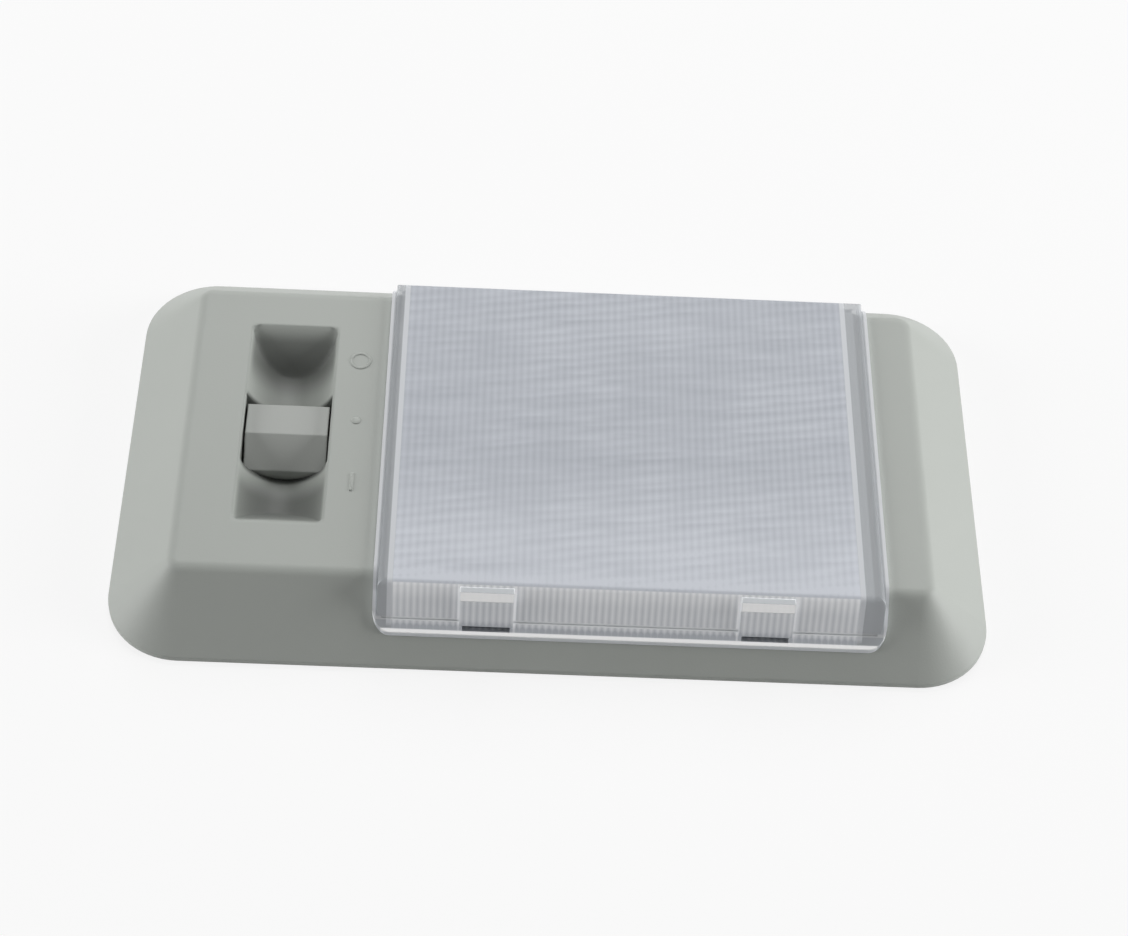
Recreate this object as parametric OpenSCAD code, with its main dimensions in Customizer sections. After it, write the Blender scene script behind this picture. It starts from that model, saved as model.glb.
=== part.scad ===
/* [Housing] */
// Length of the housing over its base
body_l = 170; // [165:1:190]
// Width of the housing over its base
body_w = 95; // [92:1:105]
// Height of the flat face over the panel the lamp is fixed to
body_h = 13.5; // [13:0.5:16]
// Height of the upright lip under the sloped sides
lip_h = 1; // [0.8:0.1:2]
// How far in the sloped sides run before they meet the flat face
edge_run = 12.5; // [11:0.5:14]
// Radius between the slopes and the flat face
edge_r = 3; // [2.5:0.1:4]
// Radius of the flat face's own corners
face_corner_r = 2; // [1.8:0.1:5]
// Wall of the housing
wall = 2; // [1.6:0.1:2.2]
// Wall of the lamp chamber and the switch well
inner_wall = 1.5; // [1.2:0.1:2]
// Thickness of the stiffening ribs behind the face
rib_t = 1.2; // [1:0.1:2]

/* [Lens] */
// Distance of the lens from the switch end of the housing
lens_from_end = 52; // [51:0.5:54]
// Distance of the lens from the other end of the housing
lens_end = 22; // [20:0.5:24]
// Width of the sloped sill in front of the lens
lens_sill = 4.9; // [4.5:0.1:5.4]
// How far the front wall of the lens leans in
front_lean = 4.2; // [3.8:0.1:5]
// How far the back wall of the lens leans in
back_lean = 5.6; // [5:0.1:6.4]
// Height of the lens over the flat face
lens_rise = 2; // [1.5:0.1:3]
// Wall of the lens
lens_t = 1.8; // [1.6:0.1:2.2]
// Radius of the lens corners
lens_r = 2.5; // [2:0.1:4]
// Gap between the lens and the edge of its opening
lens_gap = 0.3; // [0.2:0.05:0.5]
// Width of the thin flange that covers the gap
flange_w = 0.9; // [0.6:0.1:1.2]
// Width of each snap tab
tab_w = 10.2; // [9:0.1:12]
// Distance of the left tab's middle from the end of the lens
tab_in_left = 20.7; // [18:0.1:24]
// Distance of the right tab's middle from the end of the lens
tab_in_right = 22.3; // [18:0.1:24]
// Spacing of the prism ribs under the top
top_rib = 1.45; // [1.3:0.05:1.8]
// Spacing of the upright ribs in the long walls
wall_rib = 1.25; // [1.1:0.05:1.5]
// Depth of the prism ribs
rib_d = 0.5; // [0.3:0.05:0.6]

/* [Switch] */
// Distance of the switch from the end of the housing
switch_in = 32; // [31:0.5:33]
// Distance of the rocker's pivot behind the middle of the housing
switch_y = 0.4; // [0:0.1:1]
// Distance of the trough's middle behind the pivot
trough_shift = 0.8; // [0.4:0.1:1.2]
// Length of the finger trough at the flat face
trough_l = 50; // [46:0.5:52]
// Radius of the trough's corners in plan
trough_corner = 2; // [1:0.1:3]
// Radius of the round finger trough
trough_r = 8.75; // [8.6:0.05:9.2]
// Depth of the finger trough
trough_d = 7.5; // [7:0.1:8]
// Width of the rocker
rocker_w = 16.2; // [15.6:0.1:16.4]
// Half length of the rocker from its pivot to its end
rocker_r = 7.9; // [7.6:0.05:8.4]
// Slope of each half of the rocker
roof_a = 15; // [12:1:17]
// Tilt of the rocker each way from its middle position
tilt = 14; // [10:1:15]
// Radius of the rocker's moulded pivots
pivot_r = 1.5; // [1.2:0.1:1.8]

/* [Lamp] */
// Length of the bulb over its end caps
bulb_l = 31; // [28:0.5:36]
// Radius of the bulb glass
bulb_r = 4.2; // [3.8:0.1:4.4]
// Distance of the fixing screw holes from the ends of the lens
screw_in = 8; // [7.5:0.1:9]
// Radius of the fixing screw holes
screw_r = 2.2; // [2:0.1:2.6]

/* [Hidden] */
$fn = 64;

// Colours as the lamp shows them
shell_grey = [0.68, 0.69, 0.67];
lens_clear = [0.80, 0.83, 0.87, 0.6];
rocker_grey = [0.60, 0.61, 0.59];
base_black = [0.12, 0.12, 0.13];
contact_brass = [0.80, 0.64, 0.34];
bright_steel = [0.78, 0.79, 0.80];
lamp_glass = [0.92, 0.94, 0.96, 0.35];
tray_white = [0.93, 0.93, 0.92];

// The sloped edge: its angle and the base radius of the corners
slope_a = atan2(body_h - lip_h, edge_run);
corner_r = edge_run + face_corner_r;

// A round corner at p1, from the line p0-p1 to the line p1-p2
function unit(v) = v / norm(v);
function turn(a, b) = (b - a + 540) % 360 - 180;
function fillet(p0, p1, p2, r, n = 8) =
  let (u = unit(p0 - p1), v = unit(p2 - p1), half = acos(u * v) / 2)
  let (c = p1 + unit(u + v) * r / sin(half), t0 = p1 + u * r / tan(half), t1 = p1 + v * r / tan(half))
  let (a0 = atan2(t0[1] - c[1], t0[0] - c[0]), a1 = atan2(t1[1] - c[1], t1[0] - c[0]))
  [for (i = [0:n]) c + r * [cos(a0 + turn(a0, a1) * i / n), sin(a0 + turn(a0, a1) * i / n)]];
function reversed(list) = [for (i = [len(list) - 1:-1:0]) list[i]];
function flipped(list) = [for (p = list) [-p[0], p[1]]];

// The outside of the edge in section, moved outwards by o: distance in from the base edge, height
function edge_path(o) =
  let (low = [-o, lip_h + o * (1 / cos(slope_a) - tan(slope_a))])
  let (top = [edge_run - o * tan(slope_a / 2), body_h + o])
  concat([[-o, 0], low], fillet(low, top, top + [10, 0], edge_r + o));
function section(half, o) =
  let (side = [for (p = edge_path(o)) [p[0] - half, p[1]]])
  concat(side, reversed(flipped(side)));

module along_x(x, l) translate([x, 0, 0]) rotate([90, 0, 90]) linear_extrude(l) children();
module along_y(y, l) translate([0, y + l, 0]) rotate([90, 0, 0]) linear_extrude(l) children();
function span(middle, half) = [middle - half, middle + half];
module block(x, y, z) translate([x[0], y[0], z[0]]) cube([x[1] - x[0], y[1] - y[0], z[1] - z[0]]);
module round_plan(l, w, r) {
  square([l - 2 * r, w], center = true);
  square([l, w - 2 * r], center = true);
  for (sx = [-1, 1], sy = [-1, 1]) translate([sx * (l / 2 - r), sy * (w / 2 - r)]) circle(r);
}

// Levels behind the lens and the switch
floor_z = 1;
floor_t = 1.5;
floor_top = floor_z + floor_t;
base_t = 1.2;
base_top = floor_z + base_t;
strip_t = 0.4;
strip_w = 3;
under_t = 0.5;

// Lens places
lens_l = body_l - lens_from_end - lens_end;
lens_x = (lens_from_end - lens_end) / 2;
lens_x0 = lens_x - lens_l / 2;
lens_x1 = lens_x + lens_l / 2;
lens_top = body_h + lens_rise;
foot = body_w / 2 - lens_sill;
front_crest = foot - front_lean;
back_crest = foot - back_lean;
seam_z = lip_h + (lens_sill - lens_gap) * tan(slope_a);
skirt_z = floor_top + 0.4;
front_a = atan2(lens_top - seam_z, front_lean);
back_a = atan2(lens_top - seam_z, back_lean);
lens_crest_r = 1.4;
flange_clear = 0.15;
flange_t = 0.9;
function wall_point(s, o) =
  [-foot + s * cos(front_a) - o * sin(front_a), seam_z + s * sin(front_a) + o * cos(front_a)];

// Prism ribs: clear border beside them, their reach across the top and up the walls
rib_border = 3.3;
rib_shift = -1;
rib_inset = 1.5;
rib_from = 0.9;
rib_to = 8.5;
rib_skin = 0.05;

// Snap tabs and tongues
tab_places = [lens_x0 + tab_in_left, lens_x1 - tab_in_right];
tab_low = 2.1;
tab_step = 8.1;
tab_high = 10;
tab_out = 0.8;
tab_lip = 1.5;
slot_low = 1.05;
slot_side = 0.6;
tongue_w = 10;
tongue_pitch = lens_l - 42;
tongue_out = 1.1;
tongue_t = 0.8;
tongue_clear = 0.35;

// The chamber behind the lens
open_l = lens_l + 2 * lens_gap;
open_w = 2 * (foot + lens_gap);
screw_boss_r = 4.5;
screw_boss_h = 1.3;
screw_pitch = lens_l - 2 * screw_in;

// Switch places
switch_x = body_l / 2 - switch_in;
trough_z = body_h - trough_d;
trough_axis = trough_z + trough_r;
fulcrum_h = 1;
fulcrum_z = base_top + strip_t + fulcrum_h;
plunger_r = 1.5;
plunger_gap = 0.05;
plunger_drop = 2.75;
pivot_z = fulcrum_z + strip_t + plunger_gap + plunger_drop;
ridge_h = 5.2;
rocker_low = -1.2;
rocker_side = 1.2;
rocker_end = 1.5;
roof_t = 1.6;
rocker_gap = 0.45;
pivot_gap = 0.04;
pivot_out = 1.5;
well_w = rocker_w + 2 * rocker_gap;
well_l = 2 * (rocker_r + rocker_gap);
boss_r = 2.7;
spring_r = 1.15;
spring_wire = 0.22;
spring_turns = 5;
spring_low = 0.65;

// The moving contact follows the rocker the other way
contact_ratio = 0.75;
contact_tilt = contact_ratio * tilt;
contact_arm = 5;
contact_w = 5;
contact_clear = 0.04;
contact_drop = fulcrum_z - base_top - strip_t - contact_clear;
contact_lift = (contact_arm * sin(contact_tilt) - contact_drop) / cos(contact_tilt);
pad_in = 3.8;
pad_out = 5.8;
pin_pitch = (pad_in + pad_out) / 2;
pin_w = 1.4;
pin_t = 0.8;

// The strips under the floor run beside the screw bosses
feed_lane = screw_boss_r + 0.3 + strip_w / 2;
common_lane = feed_lane + strip_w + 0.7;
riser_y = 2.9;
switch_y_span = [switch_y + riser_y, switch_y + riser_y + strip_t];
pad_half = 2.5;

// The terminal base and its socket, placed from the switch
base_left = 21;
base_right = 15;
stake_in = 3;
stake_r = 1.4;
stake_head_r = 2.3;
stake_head_t = 0.5;
base_half = common_lane + strip_w / 2 - switch_y + 0.6 + stake_head_r + stake_in;
socket_in = 12.4;
socket_out = 20.6;
socket_half = 8.4;
socket_top = 9.2;
socket_wall = 1.1;
pin_x = -(socket_in + socket_wall + 1.2);
riser_x = -11.2;
loop_z = socket_top + 0.2;

// Bulb and clips
bulb_y = 0;
bulb_z = floor_top + 5.7;
cap_r = 3.3;
cap_l = 5;
cap_tip = 1;
tip_r = 1.1;
clip_t = 0.5;
clip_w = 8;
clip_x = bulb_l / 2 - cap_tip;
clip_foot = 6;
rivet_r = 1.2;
rivet_head_r = 2;
rivet_head_t = 0.45;
rivet_x = clip_x + clip_foot - 2.4;

// Reflector tray
tray_t = 0.5;
tray_l = lens_l - 5;
tray_half = back_crest - 1;
tray_flat = tray_half - 5;
tray_rise = 4;

module edge_profile() polygon(concat(
  edge_path(0),
  [[corner_r, body_h], [corner_r, body_h - wall]],
  reversed(edge_path(-wall))
));

module rim() {
  straight_l = body_l - 2 * corner_r;
  straight_w = body_w - 2 * corner_r;
  for (side = [0, 180]) {
    rotate(side) translate([0, -body_w / 2, 0]) along_x(-straight_l / 2, straight_l) edge_profile();
    rotate(side + 90) translate([0, -body_l / 2, 0]) along_x(-straight_w / 2, straight_w) edge_profile();
  }
  for (sx = [0, 1], sy = [0, 1])
    mirror([sx, 0, 0]) mirror([0, sy, 0]) translate([straight_l / 2, straight_w / 2, 0])
      rotate_extrude(angle = 90) translate([corner_r, 0]) mirror([1, 0]) edge_profile();
  block([-straight_l / 2, straight_l / 2], [-straight_w / 2, straight_w / 2], [body_h - wall, body_h]);
}

module chamber_walls() along_x(lens_x - open_l / 2 - inner_wall, open_l + 2 * inner_wall)
  intersection() {
    polygon(section(body_w / 2, -0.2));
    translate([-open_w / 2 - inner_wall, floor_z]) square([open_w + 2 * inner_wall, body_h]);
  }

module chamber_hollow() translate([lens_x, 0, floor_top])
  linear_extrude(body_h) round_plan(open_l, open_w, lens_r);

module trough_form(grow, top) intersection() {
  translate([0, -body_w / 2, trough_axis]) rotate([-90, 0, 0])
    cylinder(body_w, trough_r + grow, trough_r + grow);
  along_x(-body_w / 2, body_w) polygon([
    [-trough_l / 2 + trough_d - grow * tan(22.5), trough_z - grow],
    [trough_l / 2 - trough_d + grow * tan(22.5), trough_z - grow],
    [trough_l / 2 + top - body_h + grow * tan(67.5) - grow, top],
    [-trough_l / 2 - top + body_h - grow * tan(67.5) + grow, top]
  ]);
  linear_extrude(body_h + 5) round_plan(2 * trough_r + 2 * grow, trough_l + 2 * grow, trough_corner + grow);
}

module well_block(grow, z) block(
  [-well_w / 2 - grow, well_w / 2 + grow],
  [-well_l / 2 - grow, well_l / 2 + grow],
  z
);

// Ribs behind the face, along the housing at both ends
module rib_along(y, x, z) along_y(y - rib_t / 2, rib_t) intersection() {
  polygon(section(body_l / 2, -wall / 2));
  translate([x[0], z]) square([x[1] - x[0], body_h - wall / 2 - z]);
}

module face_ribs() {
  chamber_in = lens_x - open_l / 2 - inner_wall / 2;
  chamber_out = lens_x + open_l / 2 + inner_wall / 2;
  for (i = [-1:1]) rib_along(i * body_w * 0.27, [chamber_out, body_l], floor_z + 3);
  for (s = [-1, 1])
    rib_along(switch_y + trough_shift + s * (trough_l / 2 + 6), [-body_l, chamber_in], floor_z + 5);
}

module at_stakes() for (x = [-base_left + stake_in, base_right - stake_in], s = [-1, 1])
  translate([x, s * (base_half - stake_in), 0]) children();

module stakes() at_stakes() {
  translate([0, 0, base_top]) cylinder(body_h - wall / 2 - base_top, stake_head_r, stake_head_r);
  translate([0, 0, floor_z]) cylinder(base_t + 1, stake_r, stake_r);
  translate([0, 0, floor_z - stake_head_t]) cylinder(stake_head_t, stake_head_r, stake_head_r);
}

module housing() color(shell_grey) difference() {
  union() {
    rim();
    chamber_walls();
    face_ribs();
    translate([-switch_x, switch_y, 0]) {
      translate([0, trough_shift, 0]) trough_form(inner_wall, body_h - wall / 2);
      well_block(inner_wall, [base_top, trough_axis - 2]);
      stakes();
    }
    for (s = [-1, 1]) translate([lens_x + s * screw_pitch / 2, 0, 0])
      cylinder(floor_top + screw_boss_h, screw_boss_r, screw_boss_r);
  }
  chamber_hollow_round_bosses();
  translate([-switch_x, switch_y, 0]) {
    translate([0, trough_shift, 0]) trough_form(0, body_h + 3);
    well_block(0, [0, trough_axis]);
    translate([-well_w, 0, pivot_z]) rotate([0, 90, 0])
      cylinder(2 * well_w, pivot_r + pivot_gap, pivot_r + pivot_gap);
    for (s = [-1, 1])
      block([-well_w, 0], span(s * pin_pitch, strip_w / 2 + 0.2), [0, base_top + strip_t + 0.2]);
  }
  for (s = [-1, 1]) translate([lens_x + s * screw_pitch / 2, 0, -1]) cylinder(body_h, screw_r, screw_r);
  tongue_slots();
  rivet_holes();
}

module chamber_hollow_round_bosses() difference() {
  chamber_hollow();
  for (s = [-1, 1]) translate([lens_x + s * screw_pitch / 2, 0, 0])
    cylinder(floor_top + screw_boss_h, screw_boss_r, screw_boss_r);
}

module tongue_slots() for (s = [-1, 1]) block(
  span(lens_x + s * tongue_pitch / 2, tongue_w / 2 + 0.4),
  [foot - lens_t - 0.4, foot + tongue_out + tongue_clear],
  [-1, skirt_z + tongue_t + tongue_clear]
);

module rivet_holes() for (s = [-1, 1]) translate([lens_x + s * rivet_x, bulb_y, -1])
  cylinder(body_h, rivet_r, rivet_r);

module lens_outer() intersection() {
  along_x(lens_x0, lens_l) polygon(concat(
    [[-foot, skirt_z], [-foot, seam_z]],
    fillet([-foot, seam_z], [-front_crest, lens_top], [0, lens_top], lens_crest_r),
    fillet([0, lens_top], [back_crest, lens_top], [foot, seam_z], lens_crest_r),
    [[foot, seam_z], [foot, skirt_z]]
  ));
  translate([lens_x, 0, 0]) along_y(-foot, 2 * foot) polygon(concat(
    [[-lens_l / 2, skirt_z]],
    fillet([-lens_l / 2, skirt_z], [-lens_l / 2, lens_top], [0, lens_top], lens_crest_r),
    fillet([0, lens_top], [lens_l / 2, lens_top], [lens_l / 2, skirt_z], lens_crest_r),
    [[lens_l / 2, skirt_z]]
  ));
  translate([lens_x, 0, skirt_z]) linear_extrude(lens_top) round_plan(lens_l, 2 * foot, lens_r);
}

function inner_wall_points(a) = [
  [-foot + lens_t, skirt_z - 1],
  [-foot + lens_t, seam_z - lens_t * (1 - sin(a)) / cos(a)],
  [-foot + lens_t / sin(a) + (lens_top - lens_t - seam_z) / tan(a), lens_top - lens_t]
];
module lens_inner() along_x(lens_x0 + lens_t, lens_l - 2 * lens_t)
  polygon(concat(inner_wall_points(front_a), reversed(flipped(inner_wall_points(back_a)))));

module flange() intersection() {
  along_x(lens_x0 - 2 * flange_w, lens_l + 4 * flange_w) difference() {
    polygon(section(body_w / 2, flange_clear + flange_t));
    polygon(section(body_w / 2, flange_clear));
    translate([-body_w, -1]) square([2 * body_w, lip_h + 2]);
  }
  translate([lens_x, 0, 0]) linear_extrude(body_h + 5) difference() {
    round_plan(lens_l + 2 * flange_w, 2 * (foot + flange_w), lens_r + flange_w);
    square([lens_l - lens_t, 2 * foot - lens_t], center = true);
  }
}

module tab_form() polygon([
  wall_point(tab_low, -lens_t / 2), wall_point(tab_low, tab_out), wall_point(tab_step - 0.6, tab_out),
  wall_point(tab_step, tab_lip), wall_point(tab_high, tab_lip), wall_point(tab_high + 0.4, -lens_t / 2)
]);

module tab_slot() polygon([
  wall_point(slot_low, -2 * lens_t), wall_point(slot_low, lens_t),
  wall_point(tab_low, lens_t), wall_point(tab_low, -2 * lens_t)
]);

// A row of prism grooves, rib_d deep, upwards from the line y = 0
module prism_row(pitch) {
  count = floor((lens_l - 2 * rib_border) / pitch);
  teeth = [for (i = [0:count - 1]) each [[i * pitch, rib_skin], [(i + 0.5) * pitch, rib_d]]];
  translate([-count * pitch / 2, 0]) polygon(concat(
    [[0, -rib_skin]], teeth, [[count * pitch, rib_skin], [count * pitch, -rib_skin]]
  ));
}

module top_prisms() translate([lens_x + rib_shift, back_crest - rib_inset, lens_top - lens_t])
  rotate([90, 0, 0]) linear_extrude(front_crest + back_crest - 2 * rib_inset) prism_row(top_rib);

module wall_prisms(a) translate([lens_x + rib_shift, -foot, seam_z]) rotate([a - 90, 0, 0])
  translate([0, lens_t, rib_from]) mirror([0, 1, 0]) linear_extrude(rib_to - rib_from) prism_row(wall_rib);

module lens() color(lens_clear) difference() {
  union() {
    difference() {
      union() {
        lens_outer();
        flange();
      }
      lens_inner();
    }
    for (x = tab_places) along_x(x - tab_w / 2, tab_w) tab_form();
    for (s = [-1, 1]) block(
      span(lens_x + s * tongue_pitch / 2, tongue_w / 2),
      [foot - lens_t / 2, foot + tongue_out],
      [skirt_z, skirt_z + tongue_t]
    );
  }
  for (x = tab_places) along_x(x - tab_w / 2 + slot_side, tab_w - 2 * slot_side) tab_slot();
  top_prisms();
  wall_prisms(front_a);
  mirror([0, 1, 0]) wall_prisms(back_a);
}

module at_pivot(a) translate([-switch_x, switch_y, pivot_z]) rotate([a, 0, 0]) children();

module rocker_side_view() intersection() {
  circle(rocker_r);
  polygon([
    [-2 * rocker_r, rocker_low], [2 * rocker_r, rocker_low],
    [2 * rocker_r, ridge_h - 2 * rocker_r * tan(roof_a)], [0, ridge_h],
    [-2 * rocker_r, ridge_h - 2 * rocker_r * tan(roof_a)]
  ]);
}

module rocker_hollow() {
  end = rocker_r - rocker_end;
  polygon([
    [-end, rocker_low - 1], [end, rocker_low - 1], [end, ridge_h - roof_t - end * tan(roof_a)],
    [0, ridge_h - roof_t], [-end, ridge_h - roof_t - end * tan(roof_a)]
  ]);
}

module switch_rocker() color(rocker_grey) at_pivot(tilt) difference() {
  union() {
    difference() {
      along_x(-rocker_w / 2, rocker_w) rocker_side_view();
      along_x(-rocker_w / 2 + rocker_side, rocker_w - 2 * rocker_side) rocker_hollow();
    }
    translate([0, 0, -1]) cylinder(ridge_h - roof_t / 2, boss_r, boss_r);
    for (s = [0, 180]) rotate([0, 0, s]) translate([rocker_w / 2 - rocker_side, 0, 0]) rotate([0, 90, 0])
      cylinder(rocker_side + pivot_out, pivot_r, pivot_r);
  }
  translate([0, 0, -2]) cylinder(ridge_h - roof_t + 1.6, plunger_r + plunger_gap, plunger_r + plunger_gap);
}

module detent_plunger() color(bright_steel) at_pivot(tilt) {
  translate([0, 0, plunger_r - plunger_drop]) sphere(plunger_r);
  translate([0, 0, plunger_r - plunger_drop])
    cylinder(spring_low - plunger_r + plunger_drop, plunger_r, plunger_r);
}

// A round wire swept along a helix
function helix_point(r, pitch, t, u) =
  let (reach = r + spring_wire * cos(u))
  [reach * cos(t), reach * sin(t), pitch * t / 360 + spring_wire * sin(u)];
module detent_spring() {
  room = ridge_h - roof_t - 0.4 - spring_low - 2 * spring_wire;
  steps = 14 * spring_turns;
  sides = 6;
  pts = [for (i = [0:steps], j = [0:sides - 1])
    helix_point(spring_r, room / spring_turns, i * 360 * spring_turns / steps, -j * 360 / sides)];
  skin = [for (i = [0:steps - 1], j = [0:sides - 1])
    [i * sides + j, i * sides + (j + 1) % sides, (i + 1) * sides + (j + 1) % sides, (i + 1) * sides + j]];
  ends = [[for (j = [sides - 1:-1:0]) j], [for (j = [0:sides - 1]) steps * sides + j]];
  color(bright_steel) at_pivot(tilt) translate([0, 0, spring_low + spring_wire])
    polyhedron(pts, concat(skin, ends));
}

module moving_contact() {
  bend = [[1.8, 0], [3.4, contact_lift], [contact_arm, contact_lift]];
  upper = [for (p = bend) p + [0, strip_t]];
  color(contact_brass) translate([-switch_x, switch_y, fulcrum_z]) rotate([-contact_tilt, 0, 0])
    along_x(-contact_w / 2, contact_w)
      polygon(concat(flipped(reversed(bend)), bend, reversed(upper), flipped(upper)));
}

module terminal_base() color(base_black) translate([-switch_x, switch_y, 0]) difference() {
  union() {
    block([-base_left, base_right], [-base_half, base_half], [floor_z, base_top]);
    block([-socket_out, -socket_in], [-socket_half, socket_half], [floor_z, socket_top]);
  }
  block(
    [-socket_out + socket_wall, -socket_in - socket_wall],
    [-socket_half + socket_wall, socket_half - socket_wall],
    [0, socket_top - socket_wall]
  );
  block([-socket_out - 1, -socket_out + socket_wall + 1], span(0, 2), [socket_top - 5, socket_top - 3]);
  at_stakes() cylinder(body_h, stake_r, stake_r);
  for (i = [-1:1]) block(
    span(pin_x, pin_t / 2),
    span(i * pin_pitch, pin_w / 2),
    [floor_z, socket_top + 1]
  );
  block([riser_x - strip_t, riser_x], [-strip_w / 2, strip_w / 2], [0, body_h]);
  block([contact_w / 2 - strip_w, contact_w / 2], [riser_y, riser_y + strip_t], [0, body_h]);
}

// A stamped terminal: riser beside the socket, a loop over it and the pin inside
module loop_and_pin(y, z) {
  block([riser_x - strip_t, riser_x], span(y, strip_w / 2), [z, loop_z + strip_t]);
  block([pin_x - pin_t / 2, riser_x], span(y, strip_w / 2), [loop_z, loop_z + strip_t]);
  block(span(pin_x, pin_t / 2), span(y, pin_w / 2), [floor_z + 1, loop_z + strip_t]);
}

module switch_terminal(side) color(contact_brass) translate([-switch_x, switch_y, 0]) {
  block(
    [-contact_w / 2, contact_w / 2],
    span(side * pin_pitch, (pad_out - pad_in) / 2),
    [base_top, base_top + strip_t]
  );
  block([riser_x - strip_t, 0], span(side * pin_pitch, strip_w * 0.35), [base_top, base_top + strip_t]);
  loop_and_pin(side * pin_pitch, base_top);
}

module door_contact() switch_terminal(1);
module ground_contact() switch_terminal(-1);

module feed_strip() {
  jog_x = base_right - switch_x + strip_w;
  end_x = lens_x - rivet_x;
  under = [floor_z - under_t, floor_z];
  color(contact_brass) difference() {
    union() {
      translate([-switch_x, switch_y, 0]) loop_and_pin(0, floor_z - under_t);
      block([-switch_x + riser_x - strip_t, jog_x + strip_w / 2], span(switch_y, strip_w / 2), under);
      block(span(jog_x, strip_w / 2), [switch_y, feed_lane + strip_w / 2], under);
      block([jog_x, end_x + strip_w / 2], span(feed_lane, strip_w / 2), under);
      block(span(end_x, pad_half), [bulb_y - pad_half, feed_lane], under);
    }
    rivet_holes();
  }
}

module common_strip() {
  right = lens_x + rivet_x;
  left = -switch_x + contact_w / 2 - strip_w;
  under = [floor_z - under_t, floor_z];
  color(contact_brass) difference() {
    union() {
      block([left, right + pad_half], span(common_lane, strip_w / 2), under);
      block(span(right, pad_half), [bulb_y - pad_half, common_lane], under);
      block([left, left + strip_w], [switch_y + riser_y, common_lane], under);
      block([left, left + strip_w], switch_y_span, [floor_z - under_t, base_top + strip_t]);
      translate([-switch_x, switch_y, 0]) {
        block([-contact_w / 2, contact_w / 2], [-1.5, riser_y + strip_t], [base_top, base_top + strip_t]);
        along_x(-contact_w / 2, contact_w) polygon([[-0.8, base_top], [0, fulcrum_z], [0.8, base_top]]);
      }
    }
    rivet_holes();
  }
}

module reflector() color(tray_white) difference() {
  along_x(lens_x - tray_l / 2, tray_l) polygon([
    [-tray_half, floor_top + tray_rise], [-tray_flat, floor_top],
    [tray_flat, floor_top], [tray_half, floor_top + tray_rise],
    [tray_half, floor_top + tray_rise + tray_t], [tray_flat - 0.2, floor_top + tray_t],
    [-tray_flat + 0.2, floor_top + tray_t], [-tray_half, floor_top + tray_rise + tray_t]
  ]);
  for (s = [-1, 1]) {
    translate([lens_x + s * screw_pitch / 2, 0, 0]) cylinder(body_h, screw_boss_r + 0.4, screw_boss_r + 0.4);
    block(
      span(lens_x + s * (clip_x + clip_foot / 2), clip_foot / 2 + 1),
      span(bulb_y, clip_w / 2 + 0.6),
      [0, body_h]
    );
  }
}

module at_bulb() translate([lens_x, bulb_y, bulb_z]) children();

module bulb_glass() color(lamp_glass) at_bulb() rotate([0, 90, 0]) rotate_extrude() difference() {
  half = bulb_l / 2 - cap_l;
  neck = cap_r - 0.5;
  polygon([
    [0, -half], [neck, -half], [neck, -half + 1], [bulb_r, -half + 3.4],
    [bulb_r, half - 3.4], [neck, half - 1], [neck, half], [0, half]
  ]);
  polygon([
    [0, 1 - half], [neck - 0.6, 1 - half], [bulb_r - 0.6, 3.6 - half],
    [bulb_r - 0.6, half - 3.6], [neck - 0.6, half - 1], [0, half - 1]
  ]);
}

module bulb_cap() rotate([0, 90, 0]) rotate_extrude() difference() {
  polygon([
    [0, 0], [tip_r * 0.5, 0], [tip_r, cap_tip], [cap_r - 0.6, cap_tip + 0.5],
    [cap_r, cap_tip + 1.2], [cap_r, cap_l + 1], [0, cap_l + 1]
  ]);
  translate([0, cap_l]) square([cap_r - 0.5, 2]);
}

module bulb_cap_left() color(bright_steel) at_bulb() translate([-bulb_l / 2, 0, 0]) bulb_cap();
module bulb_cap_right() color(bright_steel) at_bulb() mirror([1, 0, 0])
  translate([-bulb_l / 2, 0, 0]) bulb_cap();

module bulb_filament() color(bright_steel) at_bulb() {
  half = bulb_l / 2 - cap_l - 1;
  rotate([0, 90, 0]) cylinder(12, 0.3, 0.3, center = true);
  for (s = [-1, 1]) translate([s * (half + 5.9) / 2, 0, 0]) rotate([0, 90, 0])
    cylinder(half - 5.9, 0.18, 0.18, center = true);
}

module bulb_clip() difference() {
  union() {
    block([clip_x, clip_x + clip_t], [-clip_w / 2, clip_w / 2], [floor_top, bulb_z + cap_r]);
    block([clip_x, clip_x + clip_foot], [-clip_w / 2, clip_w / 2], [floor_top, floor_top + clip_t]);
    along_y(-clip_w / 2, clip_w) polygon([
      [clip_x, bulb_z + cap_r], [clip_x + clip_t, bulb_z + cap_r],
      [clip_x + clip_t + 0.7, bulb_z + cap_r + 0.9], [clip_x + 0.7, bulb_z + cap_r + 0.9]
    ]);
  }
  translate([0, 0, bulb_z]) rotate([0, 90, 0]) cylinder(body_l, tip_r, tip_r);
  translate([rivet_x, 0, 0]) cylinder(body_h, rivet_r, rivet_r);
}

module bulb_clip_left() color(contact_brass) translate([lens_x, bulb_y, 0]) mirror([1, 0, 0]) bulb_clip();
module bulb_clip_right() color(contact_brass) translate([lens_x, bulb_y, 0]) bulb_clip();

module clip_rivet() {
  translate([0, 0, floor_z - under_t - rivet_head_t]) cylinder(rivet_head_t, rivet_head_r, rivet_head_r);
  translate([0, 0, floor_z - under_t - 0.1]) cylinder(floor_t + clip_t + under_t + 0.2, rivet_r, rivet_r);
  translate([0, 0, floor_top + clip_t]) cylinder(rivet_head_t, rivet_head_r, rivet_head_r * 0.8);
}

module clip_rivet_left() color(bright_steel) translate([lens_x - rivet_x, bulb_y, 0]) clip_rivet();
module clip_rivet_right() color(bright_steel) translate([lens_x + rivet_x, bulb_y, 0]) clip_rivet();

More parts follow.
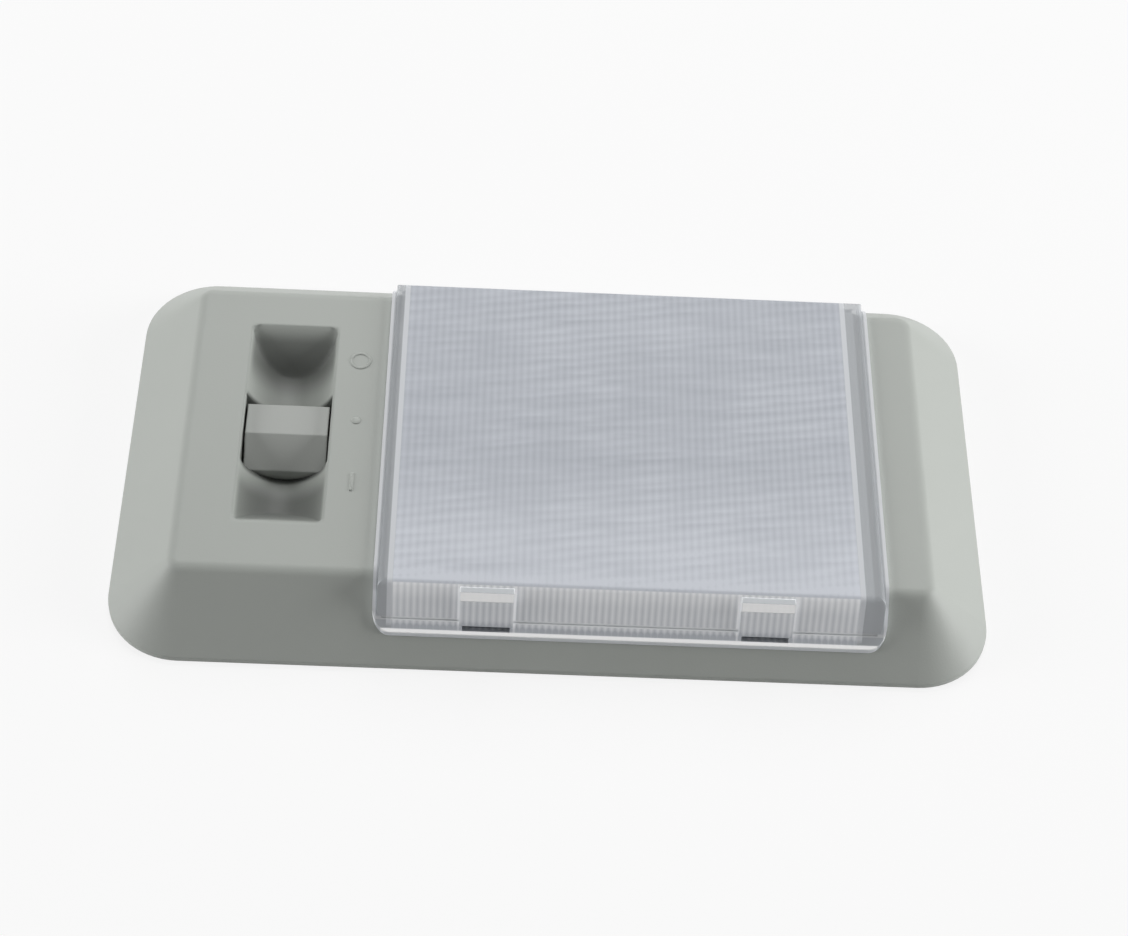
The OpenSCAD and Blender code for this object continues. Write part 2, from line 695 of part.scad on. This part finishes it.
housing();
lens();
switch_rocker();
detent_spring();
detent_plunger();
moving_contact();
terminal_base();
door_contact();
ground_contact();
feed_strip();
common_strip();
reflector();
bulb_glass();
bulb_cap_left();
bulb_cap_right();
bulb_filament();
bulb_clip_left();
bulb_clip_right();
clip_rivet_left();
clip_rivet_right();
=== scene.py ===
import bpy
import math
from mathutils import Matrix, Vector


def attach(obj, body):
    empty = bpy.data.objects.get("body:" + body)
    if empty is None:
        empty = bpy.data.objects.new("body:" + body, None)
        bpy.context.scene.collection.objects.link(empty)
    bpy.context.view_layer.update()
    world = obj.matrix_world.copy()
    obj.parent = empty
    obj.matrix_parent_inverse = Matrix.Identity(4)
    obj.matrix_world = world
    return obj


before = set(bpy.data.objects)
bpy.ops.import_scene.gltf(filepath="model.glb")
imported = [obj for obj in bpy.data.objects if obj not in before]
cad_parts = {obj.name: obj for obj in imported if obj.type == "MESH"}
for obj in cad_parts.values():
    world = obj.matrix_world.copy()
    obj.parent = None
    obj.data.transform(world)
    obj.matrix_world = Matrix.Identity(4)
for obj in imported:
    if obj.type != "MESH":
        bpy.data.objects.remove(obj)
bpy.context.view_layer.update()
print("frame loaded:", len(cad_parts), "nodes")

mm = 0.001


# Shader maths: a socket that can be added, multiplied and compared
class Wire:
    def __init__(self, look, socket):
        self.look = look
        self.socket = socket

    def maths(self, operation, *values):
        return self.look.node("ShaderNodeMath", {"operation": operation}, dict(enumerate(values))).out(0)

    def __add__(self, other): return self.maths("ADD", self, other)
    def __radd__(self, other): return self.maths("ADD", other, self)
    def __sub__(self, other): return self.maths("SUBTRACT", self, other)
    def __rsub__(self, other): return self.maths("SUBTRACT", other, self)
    def __mul__(self, other): return self.maths("MULTIPLY", self, other)
    def __rmul__(self, other): return self.maths("MULTIPLY", other, self)
    def __truediv__(self, other): return self.maths("DIVIDE", self, other)
    def __rtruediv__(self, other): return self.maths("DIVIDE", other, self)
    def __abs__(self): return self.maths("ABSOLUTE", self)
    def fract(self): return self.maths("FRACT", self)
    def both(self, other): return self.maths("MINIMUM", self, other)
    def either(self, other): return self.maths("MAXIMUM", self, other)

    def ramp(self, low, high):        # 0 at low, 1 at high, smooth between; high may be the smaller number
        made = self.look.node("ShaderNodeMapRange", {"interpolation_type": "SMOOTHSTEP"},
                              {"Value": self, "From Min": low, "From Max": high})
        return made.out(0)


class Made:
    def __init__(self, look, node):
        self.look = look
        self.node = node

    def out(self, name):
        return Wire(self.look, self.node.outputs[name])


# One material: its node tree and the ways to add to it
class Look:
    def __init__(self, name):
        self.material = bpy.data.materials.new(name)
        self.material.use_nodes = True
        self.tree = self.material.node_tree
        self.shader = self.tree.nodes["Principled BSDF"]
        self.output = self.tree.nodes["Material Output"]
        self.place = self.node("ShaderNodeTexCoord").out("Object")
        split = self.node("ShaderNodeSeparateXYZ", {}, {"Vector": self.place})
        self.x, self.y, self.z = split.out("X"), split.out("Y"), split.out("Z")

    def plug(self, socket, value):
        if isinstance(value, Wire):
            self.tree.links.new(value.socket, socket)
        else:
            socket.default_value = value

    def node(self, kind, settings=None, sockets=None):
        made = self.tree.nodes.new(kind)
        for name, value in (settings or {}).items():
            setattr(made, name, value)
        for name, value in (sockets or {}).items():
            self.plug(made.inputs[name], value)
        return Made(self, made)

    def noise(self, scale, detail=2.0, roughness=0.5):
        made = self.node("ShaderNodeTexNoise", {}, {"Vector": self.place, "Scale": scale, "Detail": detail,
                                                   "Roughness": roughness})
        return made.out(0)

    def streaks(self, scale, turn=0.0):        # noise drawn out along X, and turned about Z
        drawn = self.node("ShaderNodeMapping", {}, {"Vector": self.place, "Rotation": (0, 0, -turn),
                                                    "Scale": scale})
        made = self.node("ShaderNodeTexNoise", {}, {"Vector": drawn.out(0), "Scale": 1.0, "Detail": 3.0})
        return made.out(0)

    def blend(self, amount, first, second):        # colours
        made = self.node("ShaderNodeMix", {"data_type": "RGBA"}, {0: amount, 6: first, 7: second})
        return made.out(2)

    def turn(self, amount, first, second):        # from one normal to another
        return self.node("ShaderNodeMix", {"data_type": "VECTOR"}, {0: amount, 4: first, 5: second}).out(1)

    def bump(self, height, distance, strength, after=None):
        sockets = {"Height": height, "Distance": distance, "Strength": strength}
        if after is not None:
            sockets["Normal"] = after
        return self.node("ShaderNodeBump", {}, sockets).out("Normal")

    def softEdges(self, radius):        # normals rounded over the sharp edges
        return self.node("ShaderNodeBevel", {"samples": 6}, {"Radius": radius}).out("Normal")

    def set(self, **values):
        for name, value in values.items():
            self.plug(self.shader.inputs[name.replace("_", " ")], value)


def fromScreen(r, g, b):        # a colour as a screen shows it, 0 to 255, as the shader's own numbers
    def one(v):
        v = v / 255
        return v / 12.92 if v <= 0.04045 else ((v + 0.055) / 1.055) ** 2.4
    return (one(r), one(g), one(b), 1.0)


def shade(colour, share):        # lighter or darker by a share
    return tuple(c * share for c in colour[:3]) + (1.0,)


def near(along, middle, half, soft):        # 1 up to half away from the middle, and then fading out over soft
    return 1 - abs(along - middle).ramp(half, half + soft)


# The finger trough's painted shade: its dark colour, and how much of it lies deep down, at the back and front
# ends and in the gap round the rocker
troughSet = dict(
    x=-53 * mm, y=1.2 * mm, halfWidth=8.9 * mm, halfLength=25.2 * mm, soft=0.3 * mm, round=1.6 * mm,
    top=13.3 * mm, bottom=7 * mm, underFace=2.5 * mm, share=0.22, mostPaintedShade=0.85, paintedShade=(40, 42, 39),
    scoopFrom=12 * mm, scoopTo=20 * mm, scoopShare=0.5, frontFrom=9 * mm, frontTo=14 * mm, frontShare=0.42,
    rockerY=0.4 * mm, gapHalf=8.5 * mm, gapSoft=1.2 * mm, gapShare=0.6)


def inTrough(look):        # 1 inside the finger trough's mouth, and the share of painted shade there: darker deep down, at its back and front ends and in the gap round the rocker
    at = troughSet
    inside = near(look.x, at["x"], at["halfWidth"], at["soft"])
    inside = inside * near(look.y, at["y"], at["halfLength"], at["soft"])
    deep = inside * look.z.ramp(at["top"], at["bottom"])
    below = inside * look.z.ramp(at["top"], at["top"] - at["underFace"])
    gap = near(look.y, at["rockerY"], at["gapHalf"], at["gapSoft"])
    backEnd = look.y.ramp(at["scoopFrom"], at["scoopTo"])
    frontEnd = look.y.ramp(-at["frontFrom"], -at["frontTo"])
    paintedShade = deep * at["share"] + below * gap * at["gapShare"]
    paintedShade = paintedShade + below * (backEnd * at["scoopShare"] + frontEnd * at["frontShare"])
    return inside, paintedShade.both(at["mostPaintedShade"])


plasticSet = dict(grain=2600, grainDepth=0.03 * mm, grainStrength=0.6, cloud=18, cloudShare=0.05,
                  rough=0.52, roughShare=0.14, edge=0.45 * mm, specular=0.4)


def mouldedPlastic(name, colour, rough=plasticSet["rough"], grainDepth=plasticSet["grainDepth"],
                   hasTrough=False):
    look = Look(name)
    grain = look.noise(plasticSet["grain"], 2.5, 0.6)
    cloud = look.noise(plasticSet["cloud"], 3.0, 0.55)
    share = plasticSet["cloudShare"]
    tone = look.blend(cloud, shade(colour, 1 - share), shade(colour, 1 + share))
    edges = look.softEdges(plasticSet["edge"])
    if hasTrough:        # painted shade darkens it, most at its ends and round the rocker, and its ends are well rounded
        inside, paintedShade = inTrough(look)
        tone = look.blend(paintedShade, tone, fromScreen(*troughSet["paintedShade"]))
        edges = look.turn(inside, edges, look.softEdges(troughSet["round"]))
    look.set(Base_Color=tone, Roughness=rough + (grain - 0.5) * plasticSet["roughShare"],
             Normal=look.bump(grain, grainDepth, plasticSet["grainStrength"], after=edges))
    look.shader.inputs["Specular IOR Level"].default_value = plasticSet["specular"]
    return look.material


lensSet = dict(
    middle=15 * mm, ribMiddle=14 * mm, linesHalf=44.3 * mm, soft=0.25 * mm,        # the ribbed field
    frontCrest=38.3 * mm, backCrest=37.1 * mm, wallFrom=5.5 * mm, frontHalf=-10 * mm,
    lineStep=1.45 * mm, ribStep=1.25 * mm, ribHeight=0.06 * mm, lineHeight=0.4,
    streakStep=2.35 * mm, streakTurn=9.6, streakScale=(45, 330, 330), streakDrift=2.5 * mm, cloud=45,
    # painted light: the top lighter towards the front and at its crest, the upper front wall lighter; painted
    # shade: the seat line above the front lip
    frontFrom=-6 * mm, frontTo=-32 * mm, crestFrom=-34.5 * mm, crestTo=-36.5 * mm,        # lighter top
    upperFrom=11.5 * mm, upperTo=15 * mm, seatFrom=-41.9 * mm, seatTo=-42.7 * mm,        # front wall
    rimFrom=(44.05 * mm, 44.3 * mm), rimTo=(45.1 * mm, 45.3 * mm), rimUp=(7 * mm, 8 * mm),
    sideLip=(48.1 * mm, 48.4 * mm), lipFrom=42.9 * mm, lipSoft=0.2 * mm, lipUp=(6.1 * mm, 6.4 * mm),
    footLow=(7.3 * mm, 7.6 * mm), footHigh=(8.4 * mm, 8.7 * mm),        # front wall meets flange
    footFrom=(-41.2 * mm, -41.3 * mm), footTo=(-41.8 * mm, -41.9 * mm), cornerFrom=(-37.5 * mm, -38.5 * mm),
    tabs=(-12.3 * mm, 40.7 * mm), tabHalf=5.1 * mm, tabSide=5.35 * mm, tabSideEdge=(0.1 * mm, 0.4 * mm),
    tabBand=12.9 * mm, tabOut=(-38.5 * mm, -38.8 * mm), tabSlope=0.2308, tabTopFrom=(6.08 * mm, 6.12 * mm))
# foot, at the front wall's foot by the flange, and bright, on the front lip and the tabs' fronts, are painted
# highlights; tabTop is a painted tone for the tabs' top faces
lensColour = dict(
    groove=(163, 168, 177), crest=(219, 223, 231), wallGroove=(186, 190, 196), wallCrest=(248, 249, 251),
    border=(208, 212, 216), rim=(224, 227, 231), sideLip=(240, 242, 245), tabTop=(190, 194, 197),
    foot=(236, 238, 240), bright=(255, 255, 255))
# front, crest, upper and tabSide are shares of painted light; back and seat are shares of painted shade, on
# the rear wall and above the front lip
lensShare = dict(
    line=0.19, streak=0.24, rib=0.46, cloud=0.5, front=0.34, crest=0.18,        # lightness
    upper=0.3, back=0.35, tabSide=0.5, seat=0.6,
    fieldAlpha=0.9, wallAlpha=0.96, borderAlpha=0.56, cornerAlpha=0.2, rimAlpha=0.85,
    rough=0.2, fieldRough=0.3, rimRough=0.36, cloudRough=0.03, wallSheen=0.24, lipSheen=0.45, tabSheen=0.3,
    specular=0.22, refraction=1.49)


def stripes(along, step):        # 1 on each line, 0 halfway between
    return abs((along / step).fract() - 0.5) * 2


def lensParts(look):        # 1 on each part of the lens's outside
    at = lensSet
    soft = at["soft"]
    ribX = abs(look.x - at["ribMiddle"])
    inLines = 1 - ribX.ramp(at["linesHalf"] - soft, at["linesHalf"])
    pastCrest = look.y.ramp(soft - at["frontCrest"], -at["frontCrest"])
    pastCrest = pastCrest.either(look.y.ramp(at["backCrest"] - soft, at["backCrest"]))
    top = inLines * (1 - pastCrest)
    wall = inLines * pastCrest * look.z.ramp(at["wallFrom"], at["wallFrom"] + soft)

    rim = ribX.ramp(*at["rimFrom"]) * (1 - ribX.ramp(*at["rimTo"])) * look.z.ramp(*at["rimUp"])
    sideLip = abs(look.x - at["middle"]).ramp(*at["sideLip"])
    lip = sideLip.either(abs(look.y).ramp(at["lipFrom"], at["lipFrom"] + at["lipSoft"]))
    lipFront = look.y.ramp(-at["lipFrom"], -at["lipFrom"] - at["lipSoft"]) * look.z.ramp(*at["lipUp"])
    foot = look.z.ramp(*at["footLow"]) * (1 - look.z.ramp(*at["footHigh"]))
    foot = foot * look.y.ramp(*at["footFrom"]) * (1 - look.y.ramp(*at["footTo"]))

    left, right = at["tabs"]
    fromTab = abs(look.x - left).both(abs(look.x - right))        # distance from the nearer tab's middle
    tabSide = 1 - abs(fromTab - at["tabSide"]).ramp(*at["tabSideEdge"])
    tab = 1 - fromTab.ramp(at["tabHalf"] - soft, at["tabHalf"] + soft)
    tab = tab * look.z.ramp(at["tabBand"], at["tabBand"] + soft) * look.y.ramp(*at["tabOut"])
    tabTop = tab * (look.z + look.y * at["tabSlope"]).ramp(*at["tabTopFrom"])        # its sloped upper face
    field = top.either(wall)
    return dict(top=top, wall=wall, field=field, bright=rim.either(lip).either(tab), sideLip=sideLip,
                lipFront=lipFront, foot=foot, tab=tab, tabTop=tabTop, tabFront=tab * (1 - tabTop),
                tabSide=tabSide, front=look.y.ramp(0, at["frontHalf"]),
                corner=look.y.ramp(*at["cornerFrom"]) * (1 - field))


def clearLens(name):
    look = Look(name)
    at = lensSet
    share = lensShare
    colour = {piece: fromScreen(*value) for piece, value in lensColour.items()}
    part = lensParts(look)
    turn = math.radians(at["streakTurn"])
    drift = look.streaks(at["streakScale"], turn)
    cloud = look.noise(at["cloud"], 4.0, 0.65)
    across = look.y * math.cos(turn) - look.x * math.sin(turn) + (drift - 0.5) * at["streakDrift"]
    lines = stripes(look.x - at["ribMiddle"], at["lineStep"])
    ribs = stripes(look.x - at["ribMiddle"], at["ribStep"])
    streaks = stripes(across, at["streakStep"]) * cloud.ramp(0.3, 0.7)

    # how light the ribbed top and the ribbed walls are: ribs, streaks and cloud are the plastic's own
    # pattern; painted light makes the top lighter towards the front and at its crest, and the upper front
    # wall and the tabs' sides lighter; painted shade darkens the rear wall and the seat line just above the
    # front lip
    topTone = (lines - 0.5) * share["line"] + (streaks - 0.25) * share["streak"]
    topTone = topTone + (drift - 0.5) * share["cloud"]
    topTone = topTone + look.y.ramp(at["frontFrom"], at["frontTo"]) * share["front"]
    topTone = topTone + look.y.ramp(at["crestFrom"], at["crestTo"]) * share["crest"]
    wallTone = (ribs - 0.5) * share["rib"] + (cloud - 0.5) * share["cloud"]
    wallTone = wallTone + look.z.ramp(at["upperFrom"], at["upperTo"]) * part["front"] * share["upper"]
    wallTone = wallTone - (1 - part["front"]) * share["back"]
    wallTone = wallTone + part["tabSide"] * part["front"] * share["tabSide"]
    wallTone = wallTone - look.y.ramp(at["seatFrom"], at["seatTo"]) * share["seat"]
    topField = look.blend(topTone + 0.5, colour["groove"], colour["crest"])
    wallField = look.blend(wallTone + 0.5, colour["wallGroove"], colour["wallCrest"])

    # the plain edges, then the ribbed field over them. The front lip and the tabs' front faces are painted
    # white as a painted highlight, and the tabs' top faces get a painted tone of their own.
    plain = look.blend(part["bright"], colour["border"], colour["rim"])
    plain = look.blend(part["sideLip"], plain, colour["sideLip"])
    plain = look.blend(part["lipFront"].either(part["tabFront"]), plain, colour["bright"])
    plain = look.blend(part["tabTop"], plain, colour["tabTop"])
    ribbed = look.blend(part["wall"], topField, wallField)
    face = look.blend(part["field"] * (1 - part["bright"]), plain, ribbed)
    # a part metallic on the front wall, the front lip and the tabs' fronts: a painted sheen
    sheen = part["wall"] * part["front"] * (1 - part["tab"]) * share["wallSheen"]
    sheen = sheen.either(part["lipFront"] * share["lipSheen"]).either(part["tabFront"] * share["tabSheen"])

    # how much of what lies under it shows through
    border = share["borderAlpha"]
    alpha = border + part["top"] * (share["fieldAlpha"] - border)
    alpha = alpha + part["wall"] * (share["wallAlpha"] - border)
    alpha = alpha + part["bright"] * (1 - part["field"] * 0.5) * (share["rimAlpha"] - border)
    alpha = alpha + part["corner"] * share["cornerAlpha"]

    rough = share["rough"] + part["field"] * (share["fieldRough"] - share["rough"])
    rough = rough.either(part["bright"] * share["rimRough"]) + cloud * share["cloudRough"]
    height = lines * part["top"] * at["lineHeight"] + ribs * part["wall"]
    # the foot of the front wall, where it meets the flange, is painted lighter: painted light over the shade
    # there
    look.set(Base_Color=look.blend(part["foot"], face, colour["foot"]), Metallic=sheen, Roughness=rough,
             Alpha=alpha.both(1), Normal=look.bump(height, at["ribHeight"], 0.4))
    look.shader.inputs["IOR"].default_value = share["refraction"]
    look.shader.inputs["Specular IOR Level"].default_value = share["specular"]
    return look.material


metalSet = dict(streakScale=(60, 3000, 3000), dull=300, dark=0.78, streakRough=0.18, streakDepth=0.01 * mm)


def sheetMetal(name, colour, rough):
    look = Look(name)
    streak = look.streaks(metalSet["streakScale"])
    dull = look.noise(metalSet["dull"], 3.0, 0.6)
    look.set(Base_Color=look.blend(dull, colour, shade(colour, metalSet["dark"])), Metallic=1.0,
             Roughness=rough + streak * metalSet["streakRough"],
             Normal=look.bump(streak, metalSet["streakDepth"], 0.4))
    return look.material


def enamel(name, colour):
    look = Look(name)
    peel = look.noise(900, 2.0, 0.5)
    look.set(Base_Color=colour, Roughness=0.3 + peel * 0.1, Normal=look.bump(peel, 0.01 * mm, 0.3))
    return look.material


def clearGlass(name, colour):
    look = Look(name)
    haze = look.noise(220, 2.0, 0.5)
    look.set(Base_Color=colour, Roughness=0.03 + haze * 0.03, Alpha=0.12 + haze * 0.06)
    return look.material


housingGrey = mouldedPlastic("housing_grey_grain", fromScreen(176, 180, 175), hasTrough=True)
rockerGrey = mouldedPlastic("rocker_grey_grain", fromScreen(172, 175, 171), rough=0.45, grainDepth=0.02 * mm)
lensClear = clearLens("lens_clear_ribbed")
baseBlack = mouldedPlastic("base_black_nylon", fromScreen(44, 44, 46), rough=0.5)
contactBrass = sheetMetal("contact_brass_strip", fromScreen(214, 180, 112), 0.24)
springSteel = sheetMetal("steel_drawn", fromScreen(200, 202, 204), 0.22)
capNickel = sheetMetal("cap_nickel", fromScreen(212, 212, 210), 0.14)
trayWhite = enamel("tray_white_enamel", fromScreen(240, 240, 238))
bulbClear = clearGlass("bulb_clear_glass", fromScreen(235, 238, 240))
print("materials made")

finishes = {
    "housing": housingGrey, "lens": lensClear, "switch_rocker": rockerGrey, "terminal_base": baseBlack,
    "detent_spring": springSteel, "detent_plunger": springSteel, "moving_contact": contactBrass,
    "door_contact": contactBrass, "ground_contact": contactBrass, "feed_strip": contactBrass,
    "common_strip": contactBrass, "reflector": trayWhite, "bulb_glass": bulbClear, "bulb_cap_left": capNickel,
    "bulb_cap_right": capNickel, "bulb_filament": springSteel, "bulb_clip_left": contactBrass,
    "bulb_clip_right": contactBrass, "clip_rivet_left": springSteel, "clip_rivet_right": springSteel,
}
for nodeName, material in finishes.items():
    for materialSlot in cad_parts[nodeName].material_slots:
        materialSlot.material = material
print("nodes finished")

markSet = dict(x=-39.4 * mm, face=13.5 * mm, ringY=17.5 * mm, dotY=2.0 * mm, barY=-13.5 * mm, smooth=35,
               ringRadius=1.9 * mm, ringWire=0.32 * mm, ringFlat=0.55, dotRadius=1.0 * mm, height=0.22 * mm,
               barWidth=0.75 * mm, barLength=4.4 * mm, barEdge=0.16 * mm)


def onlyThis(piece):        # nothing else selected
    bpy.ops.object.select_all(action="DESELECT")
    piece.select_set(True)
    bpy.context.view_layer.objects.active = piece


def flatten(place, share):        # the piece just added, pressed towards the face
    bpy.ops.object.mode_set(mode="EDIT")
    bpy.ops.mesh.select_all(action="SELECT")
    bpy.ops.transform.resize(value=(1, 1, share), center_override=place)
    bpy.ops.object.mode_set(mode="OBJECT")


def finishMark(name):        # the piece just added, at home in its own mesh and in the housing's finish
    piece = bpy.context.object
    piece.name = name
    onlyThis(piece)
    bpy.ops.object.transform_apply(location=True, rotation=True, scale=True)
    bpy.ops.object.shade_smooth_by_angle(angle=math.radians(markSet["smooth"]))
    piece.data.materials.clear()
    piece.data.materials.append(housingGrey)
    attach(piece, "lamp")


def addMarks():        # plain moulded signs for the three switch places: ring, dot, bar
    mark = markSet
    ringAt = (mark["x"], mark["ringY"], mark["face"])
    bpy.ops.object.select_all(action="DESELECT")
    bpy.ops.mesh.primitive_torus_add(location=ringAt, major_radius=mark["ringRadius"],
                                     minor_radius=mark["ringWire"], major_segments=48, minor_segments=12)
    flatten(ringAt, mark["ringFlat"])
    finishMark("mark_ring")

    dotAt = (mark["x"], mark["dotY"], mark["face"])
    bpy.ops.object.select_all(action="DESELECT")
    bpy.ops.mesh.primitive_uv_sphere_add(segments=32, ring_count=16, radius=mark["dotRadius"], location=dotAt)
    flatten(dotAt, mark["height"] / mark["dotRadius"])
    finishMark("mark_dot")

    bpy.ops.object.select_all(action="DESELECT")
    bpy.ops.mesh.primitive_cube_add(size=1, location=(mark["x"], mark["barY"], mark["face"]),
                                    scale=(mark["barWidth"], mark["barLength"], 2 * mark["height"]))
    bpy.ops.object.transform_apply(location=False, rotation=False, scale=True)
    bpy.ops.object.mode_set(mode="EDIT")
    bpy.ops.mesh.select_all(action="SELECT")
    bpy.ops.mesh.bevel(offset=mark["barEdge"], segments=3)
    bpy.ops.object.mode_set(mode="OBJECT")
    finishMark("mark_bar")


addMarks()
print("marks added")

cameraSet = dict(elevation=51.48, azimuth=-3.13, roll=4.71, distance=0.5241, target=(0.00243, 0.00278, 0.0),
                 focal=82.63, sensor=36)


def addCamera():        # the photo's own place, worked out from the lamp's corners in it
    rise = math.radians(cameraSet["elevation"])
    side = math.radians(cameraSet["azimuth"])
    roll = math.radians(cameraSet["roll"])
    back = Vector((math.sin(side) * math.cos(rise), -math.cos(side) * math.cos(rise), math.sin(rise)))
    right = Vector((math.cos(side), math.sin(side), 0))
    up = back.cross(right)
    turnedRight = right * math.cos(roll) + up * math.sin(roll)
    turnedUp = up * math.cos(roll) - right * math.sin(roll)
    data = bpy.data.cameras.new("photo_camera")
    data.sensor_fit = "HORIZONTAL"
    data.sensor_width = cameraSet["sensor"]
    data.lens = cameraSet["focal"]
    camera = bpy.data.objects.new("photo_camera", data)
    bpy.context.scene.collection.objects.link(camera)
    turned = Matrix((turnedRight, turnedUp, back)).transposed().to_4x4()
    place = Vector(cameraSet["target"]) + back * cameraSet["distance"]
    camera.matrix_world = Matrix.Translation(place) @ turned
    bpy.context.scene.camera = camera


lampSet = dict(
    left=dict(at=(-1.4, 0.0, 0.45), size=0.8, power=13.2),
    right=dict(at=(1.4, 0.0, 0.45), size=0.8, power=16.6),
    back=dict(at=(0.15, 1.2, 1.15), size=1.0, power=13.4),
)


def addLamps():        # each faces the middle of the part
    for name, lamp in lampSet.items():
        data = bpy.data.lights.new("lamp_" + name, "AREA")
        data.size = lamp["size"]
        data.energy = lamp["power"]
        made = bpy.data.objects.new("lamp_" + name, data)
        made.location = lamp["at"]
        made.rotation_euler = (-Vector(lamp["at"])).to_track_quat("-Z", "Y").to_euler()
        bpy.context.scene.collection.objects.link(made)


worldSet = dict(level=0.1, shown=1.0)


def whiteRays(tree):        # 1 where the camera, a mirror or glass looks at the backdrop
    rays = tree.nodes.new("ShaderNodeLightPath")
    seen = rays.outputs["Is Camera Ray"]
    for name in ("Is Glossy Ray", "Is Transmission Ray"):
        either = tree.nodes.new("ShaderNodeMath")
        either.operation = "MAXIMUM"
        tree.links.new(seen, either.inputs[0])
        tree.links.new(rays.outputs[name], either.inputs[1])
        seen = either.outputs[0]
    return seen


def addWorld():        # dim to the part, white to the camera
    world = bpy.data.worlds.new("studio")
    bpy.context.scene.world = world
    world.use_nodes = True
    tree = world.node_tree
    background = tree.nodes["Background"]
    background.inputs["Color"].default_value = (1, 1, 1, 1)
    background.inputs["Strength"].default_value = worldSet["level"]
    shown = tree.nodes.new("ShaderNodeBackground")
    shown.inputs["Strength"].default_value = worldSet["shown"]
    shown.inputs["Color"].default_value = (1, 1, 1, 1)
    mixed = tree.nodes.new("ShaderNodeMixShader")
    tree.links.new(whiteRays(tree), mixed.inputs[0])
    tree.links.new(background.outputs[0], mixed.inputs[1])
    tree.links.new(shown.outputs[0], mixed.inputs[2])
    tree.links.new(mixed.outputs[0], tree.nodes["World Output"].inputs["Surface"])


floorSet = dict(size=6.0, under=-0.2 * mm, colour=(0.9, 0.9, 0.9, 1), rough=0.8, shownShare=0.82)


def addFloor():        # takes the soft shadow, and looks nearly white
    bpy.ops.object.select_all(action="DESELECT")
    bpy.ops.mesh.primitive_plane_add(size=floorSet["size"], location=(0, 0, floorSet["under"]))
    floor = bpy.context.object
    floor.name = "floor"
    bpy.ops.object.transform_apply(location=True)
    look = Look("floor_white")
    look.set(Base_Color=floorSet["colour"], Roughness=floorSet["rough"])
    glow = look.node("ShaderNodeEmission", {}, {"Color": (1, 1, 1, 1), "Strength": 1.0})
    share = Wire(look, whiteRays(look.tree)) * floorSet["shownShare"]
    mixed = look.node("ShaderNodeMixShader", {}, {0: share})
    look.tree.links.new(look.shader.outputs[0], mixed.node.inputs[1])
    look.tree.links.new(glow.node.outputs[0], mixed.node.inputs[2])
    look.tree.links.new(mixed.node.outputs[0], look.output.inputs["Surface"])
    floor.data.materials.append(look.material)


addCamera()
addLamps()
addWorld()
addFloor()
bpy.context.scene.view_settings.view_transform = "Standard"
print("studio ready")
